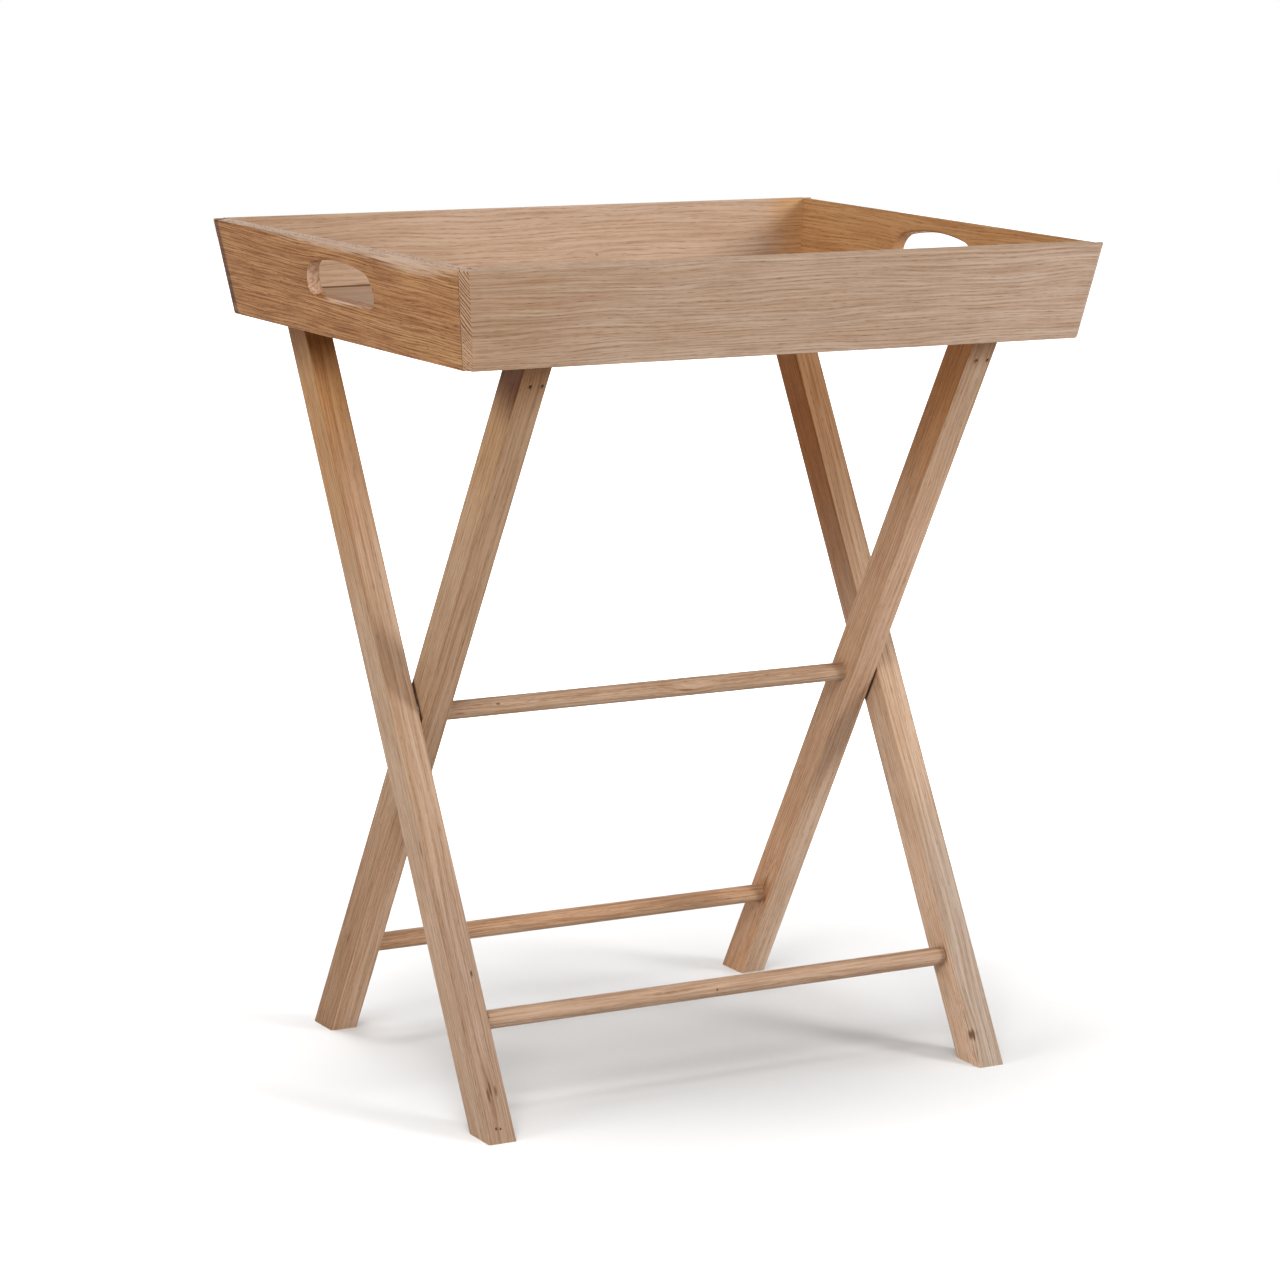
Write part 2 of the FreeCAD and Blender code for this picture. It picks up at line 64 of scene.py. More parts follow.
# The photo's camera: place in metres, angles in degrees, and focal length in pixels of the frame's width.
CAMERA_PLACE = (-1.75119, -3.0731, 1.0443)
CAMERA_YAW, CAMERA_PITCH, CAMERA_ROLL = -29.59, -10.90, 0.78
FOCAL_LENGTH = 4158.94
FRAME_WIDTH = 1280
SENSOR_WIDTH = 36.0

MILLIMETRE = 0.001


def tone(red, green, blue):
    """A tone given as screen values from 0 to 255, as a linear colour."""
    def linear(value):
        share = value / 255
        return share / 12.92 if share <= 0.04045 else ((share + 0.055) / 1.055) ** 2.4
    return (linear(red), linear(green), linear(blue), 1.0)


class Board:
    """Where a piece of wood lies: an origin, the way its grain runs, and the way across its face."""

    def __init__(self, origin, along, across):
        self.origin = Vector(origin)
        self.along = Vector(along).normalized()
        self.across = Vector(across).normalized()
        self.outward = self.along.cross(self.across)

    def turn(self):
        columns = Matrix((self.along, self.across, self.outward)).transposed()
        return columns.to_euler()


def lean(angle):
    return math.sin(math.radians(angle)), math.cos(math.radians(angle))


END_S, END_C = lean(END_LEAN)
SIDE_S, SIDE_C = lean(SIDE_LEAN)
LEG_S, LEG_C = lean(LEG_LEAN)

FRONT_BOARD = Board((0, -SIDE_FOOT, TRAY_FOOT_HEIGHT), (1, 0, 0), (0, -SIDE_S, SIDE_C))
BACK_BOARD = Board((0, SIDE_FOOT, TRAY_FOOT_HEIGHT), (-1, 0, 0), (0, SIDE_S, SIDE_C))
LEFT_END = Board((-END_FOOT, 0, TRAY_FOOT_HEIGHT), (0, -1, 0), (-END_S, 0, END_C))
RIGHT_END = Board((END_FOOT, 0, TRAY_FOOT_HEIGHT), (0, 1, 0), (END_S, 0, END_C))
TRAY_FLOOR = Board((0, 0, TRAY_FLOOR_HEIGHT), (1, 0, 0), (0, 1, 0))
LONG_BEARER = Board((0, 0, BEARER_HEIGHT), (1, 0, 0), (0, 1, 0))
SHORT_BEARER = Board((0, 0, BEARER_HEIGHT), (0, 1, 0), (-1, 0, 0))
FRONT_RAIL = Board((0, -TOP_RAIL, TOP_RAIL_HEIGHT), (1, 0, 0), (0, 1, 0))
BACK_RAIL = Board((0, TOP_RAIL, TOP_RAIL_HEIGHT), (-1, 0, 0), (0, -1, 0))
OUTER_LEFT = Board((-OUTER_LEG, 0, PIVOT_HEIGHT), (0, LEG_S, LEG_C), (-1, 0, 0))
OUTER_RIGHT = Board((OUTER_LEG, 0, PIVOT_HEIGHT), (0, LEG_S, LEG_C), (-1, 0, 0))
INNER_LEFT = Board((-INNER_LEG, 0, PIVOT_HEIGHT), (0, -LEG_S, LEG_C), (-1, 0, 0))
INNER_RIGHT = Board((INNER_LEG, 0, PIVOT_HEIGHT), (0, -LEG_S, LEG_C), (-1, 0, 0))
PIVOT_RUNG = Board((0, 0, PIVOT_HEIGHT), (1, 0, 0), (0, 0, 1))
FRONT_RUNG = Board((0, -LOWER_RUNG, LOWER_RUNG_HEIGHT), (1, 0, 0), (0, 0, 1))
BACK_RUNG = Board((0, LOWER_RUNG, LOWER_RUNG_HEIGHT), (1, 0, 0), (0, 0, 1))


class Finish:
    """The nodes of one material, added one after the other."""

    def __init__(self, name):
        self.material = bpy.data.materials.new(name)
        self.material.use_nodes = True
        self.tree = self.material.node_tree
        self.tree.nodes.clear()
        output = self.tree.nodes.new("ShaderNodeOutputMaterial")
        self.shader = self.tree.nodes.new("ShaderNodeBsdfPrincipled")
        self.tree.links.new(self.shader.outputs[0], output.inputs[0])

    def add(self, kind, **settings):
        node = self.tree.nodes.new(kind)
        for key, value in settings.items():
            setattr(node, key, value)
        return node

    def feed(self, socket, value):
        if isinstance(value, bpy.types.NodeSocket):
            self.tree.links.new(value, socket)
        else:
            socket.default_value = value

    def number(self, operation, first, second=0.0):
        node = self.add("ShaderNodeMath", operation=operation)
        self.feed(node.inputs[0], first)
        self.feed(node.inputs[1], second)
        return node.outputs[0]

    def scaled(self, value, factor, base):
        """base plus factor times the value."""
        return self.number("ADD", self.number("MULTIPLY", value, factor), base)

    def around(self, value, middle, factor):
        """How far the value is from its middle, times factor."""
        return self.number("MULTIPLY", self.number("SUBTRACT", value, middle), factor)

    def product(self, first, *others):
        for other in others:
            first = self.number("MULTIPLY", first, other)
        return first

    def vector(self, operation, first, second=(0, 0, 0)):
        node = self.add("ShaderNodeVectorMath", operation=operation)
        self.feed(node.inputs[0], first)
        self.feed(node.inputs[1], second)
        return node.outputs["Value" if operation in ("LENGTH", "DOT_PRODUCT") else "Vector"]

    def step(self, value, low, high):
        """0 at low and 1 at high, with a smooth change between them; low may be above high."""
        node = self.add("ShaderNodeMapRange", interpolation_type="SMOOTHSTEP")
        self.feed(node.inputs["Value"], value)
        first, last, start, end = (low, high, 0.0, 1.0) if low < high else (high, low, 1.0, 0.0)
        node.inputs["From Min"].default_value = first
        node.inputs["From Max"].default_value = last
        node.inputs["To Min"].default_value = start
        node.inputs["To Max"].default_value = end
        return node.outputs["Result"]

    def noise(self, vector, detail, roughness):
        node = self.add("ShaderNodeTexNoise")
        self.feed(node.inputs["Vector"], vector)
        node.inputs["Scale"].default_value = 1.0
        node.inputs["Detail"].default_value = detail
        node.inputs["Roughness"].default_value = roughness
        return node.outputs[0]

    def mix(self, share, first, second, blend_type="MIX"):
        node = self.add("ShaderNodeMix", data_type="RGBA", blend_type=blend_type)
        self.feed(node.inputs[0], share)
        self.feed(node.inputs[6], first)
        self.feed(node.inputs[7], second)
        return node.outputs[2]

    def emboss(self, height, strength, depth):
        bump = self.add("ShaderNodeBump")
        bump.inputs["Strength"].default_value = strength
        bump.inputs["Distance"].default_value = depth
        self.feed(bump.inputs["Height"], height)
        self.feed(self.shader.inputs["Normal"], bump.outputs[0])


class Oak(Finish):
    """Oak sawn from a trunk whose pith lies beside the board, so that rings, pores and end grain agree on every face.

    Lengths are in millimetres, in the board's own directions: along the grain, across the face and outward.
    """

    def __init__(self, name, board, tones):
        super().__init__(name)
        self.board = board
        self.warm, self.line, self.pore = tones[1:]
        self.colour = tones[0]
        coords = self.add("ShaderNodeTexCoord")
        place = self.add("ShaderNodeMapping", vector_type="TEXTURE")
        place.inputs["Location"].default_value = board.origin
        place.inputs["Rotation"].default_value = board.turn()
        place.inputs["Scale"].default_value = (MILLIMETRE, MILLIMETRE, MILLIMETRE)
        self.feed(place.inputs["Vector"], coords.outputs["Object"])
        self.local = place.outputs[0]
        self.normal = coords.outputs["Normal"]

    def paint(self, colour, *shares, blend_type="MIX"):
        """Lays a colour over the wood, by the product of its shares."""
        self.colour = self.mix(self.product(*shares), self.colour, colour, blend_type)

    def fibres(self, vector, length, width, detail, roughness):
        """Noise drawn out into fibres of a length and a width."""
        return self.noise(self.vector("MULTIPLY", vector, (1 / length, 1 / width, 1 / width)), detail, roughness)

    def distance(self, spot, reach):
        """How far the wood is from a spot, in parts of the spot's reach each way."""
        return self.vector("LENGTH", self.vector("DIVIDE", self.vector("SUBTRACT", self.local, spot), reach))

    def measure(self, way):
        return self.vector("DOT_PRODUCT", self.local, way)

    def facing(self, way):
        return self.vector("DOT_PRODUCT", self.normal, tuple(way))

    def year_band(self, rise, hold, fall):
        """A band in each year's ring, given in parts of the ring."""
        return self.product(self.step(self.phase, 0.0, rise), self.step(self.phase, fall, hold))

    def follow_trunk(self, pith, ring, wander, slope, seed, knots):
        """The fibres wave, leave the board's direction a little and bend at knots; the rings go round the pith."""
        drift = self.add("ShaderNodeMapping", vector_type="POINT")
        drift.inputs["Rotation"].default_value = (0, 0, math.radians(slope))
        drift.inputs["Location"].default_value = (seed * CUT_STEP, 0, 0)
        self.feed(drift.inputs["Vector"], self.local)
        straight = drift.outputs[0]
        sway = self.around(self.fibres(straight, 150, 40, 2.0, 0.45), 0.5, 2 * wander)
        for spot, reach, push in knots:
            near = self.step(self.distance(spot, reach), 2.2, 0.0)
            sway = self.number("ADD", sway, self.product(near, push))
        aside = self.add("ShaderNodeCombineXYZ")
        self.feed(aside.inputs[1], sway)
        self.grain = self.vector("ADD", straight, aside.outputs[0])

        # Some rings are wide and some narrow.
        to_pith = self.vector("MULTIPLY", self.vector("SUBTRACT", self.grain, (0, *pith)), (0, 1, 1))
        radius = self.vector("LENGTH", to_pith)
        years = self.add("ShaderNodeCombineXYZ")
        self.feed(years.inputs[0], self.number("DIVIDE", radius, 3.1 * ring))
        years.inputs[1].default_value = seed
        growth = self.product(self.noise(years.outputs[0], 1.0, 0.5), 2.6)
        self.phase = self.number("FRACT", self.number("ADD", self.number("DIVIDE", radius, ring), growth))

    def show_grain(self, lines, streaks, streak_size, pores, bands):
        """Slow changes of tone, streaks, dashes of open grain along the rings, and fine pores."""
        early = self.year_band(0.16, 0.2, 0.66)
        dash = self.step(self.fibres(self.grain, 27, 1.35, 2.0, 0.6), 0.40, 0.64)
        fine = self.step(self.fibres(self.grain, 9, 0.45, 1.0, 0.5), 0.52, 0.68)
        broad = self.fibres(self.grain, 420, 15, 3.0, 0.58)
        self.streak = self.step(self.fibres(self.grain, 75, streak_size, 4.0, 0.64), 0.42, 0.64)
        self.blotch = self.fibres(self.grain, 60, 20, 3.0, 0.55)
        self.ring_line = self.product(early, self.scaled(dash, 0.78, 0.22))
        self.open_pore = self.product(fine, self.scaled(early, 0.75, 0.25))
        self.paint(self.warm, self.step(broad, 0.32, 0.68), bands)
        self.paint(self.line, self.step(self.blotch, 0.45, 0.75), 0.30 * bands)
        self.paint(self.line, self.streak, streaks)
        self.paint(self.line, self.ring_line, lines)
        self.paint(self.pore, self.open_pore, pores)

    def show_end_grain(self, end_lines, end_wash):
        """Faces that look along the grain have a tone of their own, and show their rings more darkly."""
        end_face = self.step(self.number("ABSOLUTE", self.facing(self.board.along)), 0.30, 0.60)
        if end_wash:
            wash, share = end_wash
            speck = self.step(self.fibres(self.local, 3, 3, 3.0, 0.6), 0.60, 0.40)
            self.paint(wash, end_face, self.scaled(speck, 0.55, 0.45), share)
        if end_lines:
            self.paint(self.pore, end_face, self.year_band(0.15, 0.28, 0.58), end_lines)

    def sand_rim(self, rim):
        """The level edge on top is sanded paler, with short dashes where the fibres run out."""
        level = self.step(self.facing((0, 0, 1)), 0.72, 0.95)
        sanded = self.product(level, self.step(self.measure((0, 1, 0)), RIM_START, RIM_FULL))
        self.paint(rim, sanded, 0.7)
        runout = self.add("ShaderNodeMapping", vector_type="POINT")
        runout.inputs["Rotation"].default_value = (0, math.radians(RUNOUT_ANGLE), 0)
        self.feed(runout.inputs["Vector"], self.local)
        nick = self.noise(self.vector("MULTIPLY", runout.outputs[0], (1 / 13, 1 / 9, 1 / 1.6)), 2.0, 0.55)
        self.paint(self.line, sanded, self.step(nick, 0.5, 0.66), 0.6)

    def wear_and_painted_light(self, rubs_and_highlights, shades, marks, seams):
        """Places worn pale, soft darker streaks, dark spots, and dirt along joints, some of it near one spot only;
        some pale places are painted highlights and some dark bands are painted shade.
        """
        for spot, reach, share, worn in rubs_and_highlights:
            patchy = self.number("ADD", self.distance(spot, reach), self.around(self.streak, 0.35, 0.5))
            self.paint(worn, self.step(patchy, 1.0, 0.3), share)
        for spot, reach, dark in shades:
            uneven = self.number("ADD", self.distance(spot, reach), self.around(self.blotch, 0.5, 1.4))
            self.paint(self.line, self.step(uneven, 1.0, 0.15), dark)
        for spot, reach, dark in marks:
            ragged = self.number("SUBTRACT", self.distance(spot, reach), self.around(self.streak, 0.4, 0.45))
            self.paint(self.pore, self.step(ragged, 1.0, 0.35), dark)
        for way, far, half, dark, *within in seams:
            off = self.number("ABSOLUTE", self.number("SUBTRACT", self.measure(way), far))
            dirt_and_shade = self.scaled(self.step(self.blotch, 0.3, 0.6), 0.5, 0.5)
            close = [self.step(self.distance(spot, reach), 1.0, 0.8) for spot, reach in within]
            self.paint(self.pore, self.step(off, half, 0.4 * half), dirt_and_shade, *close, dark)

    def age(self, aged):
        """Painted shade and painted light: faces whose tone changes from one place along the grain to another."""
        for face, start, full, tint in aged:
            on_face = self.step(self.facing(face), 0.45, 0.75)
            changed = self.step(self.measure((1, 0, 0)), start, full)
            self.paint(tint + (1.0,), on_face, changed, blend_type="MULTIPLY")

    def oil(self):
        """A dull oiled surface, rougher and lower in its pores and open rings."""
        self.feed(self.shader.inputs["Base Color"], self.colour)
        rough = self.number("ADD", self.product(self.open_pore, 0.18), self.product(self.streak, 0.10))
        self.feed(self.shader.inputs["Roughness"], self.number("ADD", rough, 0.52))
        self.shader.inputs["Specular IOR Level"].default_value = OAK_SHEEN
        relief = self.number("ADD", self.product(self.open_pore, 0.7), self.product(self.ring_line, 0.3))
        self.emboss(self.number("SUBTRACT", 1.0, relief), 0.35, 0.3 * MILLIMETRE)


def oak_tones(red, green, blue, contrast=1.0):
    """A board's four tones, pale, warm, line and pore, from the palest one in screen values."""
    pale = tone(red, green, blue)

    def deeper(*shares):
        return tuple(value * share ** contrast for value, share in zip(pale, shares)) + (1.0,)
    return pale, deeper(0.87, 0.775, 0.68), deeper(0.53, 0.39, 0.26), deeper(0.24, 0.14, 0.07)


def oak(name, board, tones, pith=(-90, -110), ring=2.6, wander=5.0, slope=0, seed=0.0,
        lines=0.5, streaks=0.5, streak_size=1.9, pores=0.5, bands=0.6, end_lines=0.5, end_wash=None, rim=None,
        knots=(), marks=(), shades=(), rubs_and_highlights=(), seams=(), aged=()):
    """The oak of one piece, from its trunk to its surface."""
    wood = Oak(name, board, tones)
    wood.follow_trunk(pith, ring, wander, slope, seed, knots)
    wood.show_grain(lines, streaks, streak_size, pores, bands)
    wood.show_end_grain(end_lines, end_wash)
    if rim:
        wood.sand_rim(rim)
    wood.wear_and_painted_light(rubs_and_highlights, shades, marks, seams)
    wood.age(aged)
    wood.oil()
    return wood.material


def leg_oak(name, board, tones, **looks):
    """Oak of a leg, straighter and with finer streaks than a board's."""
    return oak(name, board, tones, wander=4, streak_size=1.35, **looks)


def nail_steel():
    """Dull steel of the sunk nails, with dark rust in patches."""
    steel = Finish("dull_nail_steel")
    coords = steel.add("ShaderNodeTexCoord")
    patch = steel.noise(steel.vector("MULTIPLY", coords.outputs["Object"], (900, 900, 900)), 3.0, 0.6)
    rust = steel.step(patch, 0.42, 0.62)
    steel.feed(steel.shader.inputs["Base Color"], steel.mix(rust, tone(92, 84, 76), tone(58, 38, 24)))
    steel.feed(steel.shader.inputs["Roughness"], steel.scaled(rust, 0.35, 0.40))
    steel.shader.inputs["Metallic"].default_value = 0.75
    steel.emboss(patch, 0.3, 0.1 * MILLIMETRE)
    return steel.material


def washer_nylon():
    """Milky nylon of the washers between the crossing legs, scuffed in circles by turning."""
    nylon = Finish("milky_washer_nylon")
    coords = nylon.add("ShaderNodeTexCoord")
    place = nylon.add("ShaderNodeMapping", vector_type="TEXTURE")
    place.inputs["Location"].default_value = (0, 0, PIVOT_HEIGHT)
    nylon.feed(place.inputs["Vector"], coords.outputs["Object"])
    radius = nylon.vector("LENGTH", nylon.vector("MULTIPLY", place.outputs[0], (0, 1, 1)))
    scuff = nylon.noise(nylon.vector("MULTIPLY", place.outputs[0], (400, 400, 400)), 3.0, 0.6)
    wobbly = nylon.number("ADD", radius, nylon.product(scuff, 0.8 * MILLIMETRE))
    circle = nylon.number("SINE", nylon.product(wobbly, 9000))
    worn = nylon.step(nylon.number("ADD", nylon.product(circle, 0.2), scuff), 0.4, 0.75)
    nylon.feed(nylon.shader.inputs["Base Color"], nylon.mix(worn, tone(196, 184, 164), tone(168, 150, 124)))
    nylon.feed(nylon.shader.inputs["Roughness"], nylon.scaled(worn, 0.25, 0.40))
    return nylon.material


def dress(node, material):
    """Gives a CAD node its finish."""
    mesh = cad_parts[node].data
    if mesh.materials:
        for index in range(len(mesh.materials)):
            mesh.materials[index] = material
    else:
        mesh.materials.append(material)


def end_joint(way, far, half, dark):
    """A dark line along the slanting joint at one end of an end board, which made wide is painted shade; way is 1 or
    -1 along the board.
    """
    slant = -0.192
    return ((way, slant, 0), far, half, dark)


def nail_stains(first, second, face):
    """Dark stains in the wood round a leg's two nails; face is 1 or -1, the front or the back."""
    reach, dark = (3.2, 2.5, 3), 0.75
    return [((NAIL_PLACE, place, face * LEG_HALF_WIDTH), reach, dark) for place in (first, second)]


def crossing_gap_shade(way):
    """Painted shade along the narrow gap where another leg crosses; way is 1 or -1, up or down the leg."""
    slant = math.radians(2 * LEG_LEAN)
    over_gap = (way * math.sin(slant), 0, math.cos(slant))
    beside_gap = ((way * 17.5, LEG_HALF_THICKNESS, 0), (26, 1.2, 26))
    far, half, dark = 13.4, 3.2, 0.95
    return (over_gap, far, half, dark, beside_gap)


# Joints that hold a thin dark line: the end boards against the long ones, and the floor against the boards.
END_JOINTS = [end_joint(way, 215.9, 1.1, 0.7) for way in (1, -1)]
FLOOR_JOINTS = ([((0, way, 0), 213.9, 1.9, 0.95) for way in (1, -1)]
                + [((way, 0, 0), 280.3, 1.9, 0.95) for way in (1, -1)])
FLOOR_LINE = ((0, 17.4, -12), (9000, 1.7, 3), 0.95)

RIM = tone(184, 155, 130)
WORN_EDGE = tone(192, 163, 138)
GRIP_WALL = tone(194, 161, 137)
SHADED_WALL = tone(178, 134, 96)
# A painted highlight along the sill of each hand grip.
SILL_HIGHLIGHT = tone(212, 180, 153)
END_GRAIN = tone(112, 70, 46)
PALE_END = tone(194, 155, 124)

# Faces of the legs on which painted shade and painted light change along the leg.
LEFT_SIDE = (-1, 0, 0)
OUTER_FRONT = OUTER_LEFT.outward
INNER_FRONT = INNER_LEFT.outward

# The tray.
dress("tray_front_board", oak(
    "front_board_oak", FRONT_BOARD, oak_tones(180, 156, 136, 1.1), pith=(177, 203), ring=1.75, wander=6, seed=1.0,
    lines=0.46, streaks=0.44, pores=0.45, bands=0.7, end_lines=0.85, end_wash=(PALE_END, 0.6), rim=RIM,
    shades=[((-235, 39, 0), (80, 5, 9), 0.30), ((-262, 30, 0), (60, 3, 9), 0.35),
            ((-150, 66, 0), (60, 4, 9), 0.25), ((-304, 50, 0), (10, 28, 14), 0.35)],
    rubs_and_highlights=[((-294, 8, 2), (14, 24, 14), 0.55, PALE_END)],
    marks=[((295.4, 62.7, 0), (2.2, 1.6, 3), 0.5), FLOOR_LINE],
    # Painted shade darkens the front board's outer face towards its left end, and painted light brightens it towards
    # its right end.
    aged=[(FRONT_BOARD.outward, -130, -270, (0.92, 0.87, 0.80)),
          (FRONT_BOARD.outward, 110, 250, (1.08, 1.11, 1.16))]))
dress("tray_back_board", oak(
    "back_board_oak", BACK_BOARD, oak_tones(197, 170, 147), pith=(-60, 120), ring=3.0, wander=6, seed=2.0,
    lines=0.34, streaks=0.36, pores=0.4, bands=0.55, end_lines=0.6, end_wash=(END_GRAIN, 1.0), rim=RIM,
    knots=[((-67.4, 36, -12), (9, 4, 9), 3.0)],
    marks=[((-67.4, 36, -12), (2.6, 1.7, 4), 0.55), FLOOR_LINE],
    # Painted shadow of the right end board darkens the back board's inner face near the right corner; the inner face
    # also darkens towards the left end.
    aged=[(-BACK_BOARD.outward, -235, -282, (1.02, 0.84, 0.56)),
          (-BACK_BOARD.outward, 60, 260, (0.93, 0.90, 0.85))]))
# The left end board's darker, deeper orange tone is painted shade, which fades on its outer face towards the front
# end.
dress("tray_left_end", oak(
    "left_end_oak", LEFT_END, oak_tones(174, 127, 77, 1.55), pith=(-80, -90), ring=2.0, wander=5, slope=1, seed=3.0,
    lines=0.80, streaks=0.88, streak_size=1.6, pores=0.7, bands=1.0, end_lines=0, end_wash=(GRIP_WALL, 0.9), rim=RIM,
    rubs_and_highlights=[((40, 81, 0), (200, 5.5, 6), 0.75, WORN_EDGE), ((142, 78, 0), (96, 8, 6), 0.5, WORN_EDGE),
          # The pale band along the grip's sill is a painted highlight.
          ((8.2, 33.0, 0), (60, 2.2, 4), 0.85, SILL_HIGHLIGHT)],
    marks=[FLOOR_LINE],
    # The wide band at the back end is painted shade where the rounded corner turns away from the light.
    seams=END_JOINTS + [end_joint(-1, 213.0, 6.5, 0.95)],
    aged=[(LEFT_END.outward, 10, 180, (1.12, 1.20, 1.32))]))
dress("tray_right_end", oak(
    "right_end_oak", RIGHT_END, oak_tones(193, 148, 102), pith=(-90, 100), ring=3.0, wander=8, seed=4.0,
    lines=0.45, streaks=0.45, bands=0.7, end_lines=0, end_wash=(SHADED_WALL, 0.9), rim=RIM,
    # The pale band along the grip's sill is a painted highlight.
    rubs_and_highlights=[((0, 81, 0), (200, 5.5, 6), 0.75, WORN_EDGE), ((2.3, 34.2, 0), (60, 2.2, 4), 0.85, SILL_HIGHLIGHT)],
    marks=[FLOOR_LINE],
    seams=END_JOINTS))
dress("tray_floor_panel", oak(
    "tray_floor_oak", TRAY_FLOOR, oak_tones(190, 161, 138), pith=(-60, -180), ring=3.4, wander=9, seed=5.0,
    lines=0.42, streaks=0.4, pores=0.4, seams=FLOOR_JOINTS))

# The bearers and rails under the tray.
for node, name, board, seed in (("front_floor_bearer", "front_floor_bearer_oak", LONG_BEARER, 6.0),
                                ("back_floor_bearer", "back_floor_bearer_oak", LONG_BEARER, 6.4),
                                ("left_floor_bearer", "left_floor_bearer_oak", SHORT_BEARER, 7.0),
                                ("right_floor_bearer", "right_floor_bearer_oak", SHORT_BEARER, 7.4),
                                ("inner_top_rail", "front_rail_oak", FRONT_RAIL, 8.0),
                                ("outer_top_rail", "back_rail_oak", BACK_RAIL, 9.0)):
    dress(node, oak(name, board, oak_tones(190, 159, 133), seed=seed))

# The legs.
dress("outer_leg_left", leg_oak(
    "outer_left_leg_oak", OUTER_LEFT, oak_tones(190, 162, 138), pith=(-60, -140), ring=2.8, seed=10.0,
    lines=0.34, streaks=0.54,
    knots=[((-340, -1, ON_FACE), (26, 5, 10), 3.2)],
    shades=[((150, 11.8, 15.2), (260, 1.9, 1.9), 0.62), ((-180, 12, 15.2), (150, 1.6, 1.6), 0.45),
            ((60, 4, ON_FACE), (120, 2.5, 4), 0.25), ((-338, 1, ON_FACE), (36, 5, 4), 0.5)],
    marks=[((-327, 0.6, ON_FACE), (8, 1.3, 4), 0.75), ((-333, 3.6, ON_FACE), (8, 1.3, 4), 0.8),
           ((-331, -3.8, ON_FACE), (7, 1.3, 4), 0.75), ((-361.6, 3.6, ON_FACE), (1.9, 1.6, 3), 1.0),
           ((-362.1, -0.4, ON_FACE), (1.9, 1.6, 3), 1.0), ((-230.9, -6, ON_FACE), (4.0, 1.3, 3), 0.9),
           ((-35, ON_SIDE, 12), (14, 3, 1.1), 0.6), ((-120, ON_SIDE, 13), (9, 3, 1.1), 0.6),
           *nail_stains(8.2, -2.8, -1)],
    # Painted shade and painted light: the left side turns darker and more orange up the leg and is deep in painted
    # shade right under the tray; the front face is lit paler below the top, deep in painted shade right under the
    # tray, and darker towards the foot.
    aged=[(LEFT_SIDE, 40, 235, (0.93, 0.75, 0.50)), (LEFT_SIDE, -180, -40, (0.95, 0.96, 0.95)),
          (LEFT_SIDE, 306, 350, (0.52, 0.40, 0.28)),
          (OUTER_FRONT, 110, 310, (1.12, 0.90, 0.63)), (OUTER_FRONT, 225, 290, (1.29, 1.30, 1.21)),
          (OUTER_FRONT, 294, 338, (0.30, 0.23, 0.15)), (OUTER_FRONT, -60, -220, (0.83, 0.82, 0.84))]))
dress("outer_leg_right", leg_oak(
    "outer_right_leg_oak", OUTER_RIGHT, oak_tones(205, 177, 153), pith=(-70, -120), ring=2.7, seed=11.0,
    lines=0.35, streaks=0.54,
    knots=[((-343.5, ON_SIDE, 12), (22, 9, 8), 4.0)],
    shades=[((-60, 12, 15.2), (330, 1.7, 1.7), 0.55), ((272, 0.6, ON_FACE), (40, 2, 4), 0.45),
            ((-267.8, ON_SIDE, 0), (15, 5, 15), 0.55)],
    marks=[((-344, 11.6, 14.8), (7, 5.5, 5), 0.95), ((-330, ON_SIDE, 13.5), (15, 2.0, 1.2), 0.6),
           ((-365, ON_SIDE, 14), (16, 1.8, 1.1), 0.55), ((-267.8, ON_SIDE, 2.5), (9.8, 2.5, 10.2), 0.9),
           *nail_stains(8.2, -2.8, -1)],
    # Painted shade in the gap where the other leg crosses.
    seams=[crossing_gap_shade(-1)],
    # Painted shade turns the left side and the front face much darker and more orange up the leg, under the tray;
    # painted light lightens the left side towards the foot, while the front face darkens there.
    aged=[(LEFT_SIDE, -70, 230, (0.55, 0.28, 0.07)), (OUTER_FRONT, -40, 290, (0.76, 0.59, 0.40)),
          (LEFT_SIDE, -60, -220, (1.22, 1.21, 1.22)), (OUTER_FRONT, -60, -220, (0.80, 0.88, 0.98))]))
dress("inner_leg_left", leg_oak(
    "inner_left_leg_oak", INNER_LEFT, oak_tones(183, 152, 125), pith=(60, -130), ring=2.7, seed=12.0,
    lines=0.36, streaks=0.55,
    shades=[((120, 12, 15.2), (260, 1.7, 1.7), 0.5), ((-258, ON_SIDE, 1), (26, 4, 5), 0.5),
            ((-200, 2, ON_FACE), (130, 2.5, 4), 0.3)],
    marks=[((-258.3, ON_SIDE, 0), (6, 3, 1.6), 0.45), *nail_stains(2.8, -8.2, 1)],
    # Painted shade in the gap where the other leg crosses.
    seams=[crossing_gap_shade(1)],
    # Painted shade and painted light: both faces go deep in painted shade right under the tray and the front face
    # darkens up the leg; painted light lightens the front face towards the foot, while the left side darkens there.
    aged=[(LEFT_SIDE, 140, 320, (1.10, 1.00, 0.80)), (INNER_FRONT, 140, 320, (0.92, 0.91, 0.88)),
          (LEFT_SIDE, -900, -800, (0.93, 0.93, 0.90)),
          (INNER_FRONT, 316, 372, (0.58, 0.45, 0.32)), (LEFT_SIDE, 298, 346, (0.27, 0.15, 0.04)),
          (LEFT_SIDE, -60, -220, (0.87, 0.80, 0.73)), (INNER_FRONT, -60, -220, (1.34, 1.37, 1.46))]))
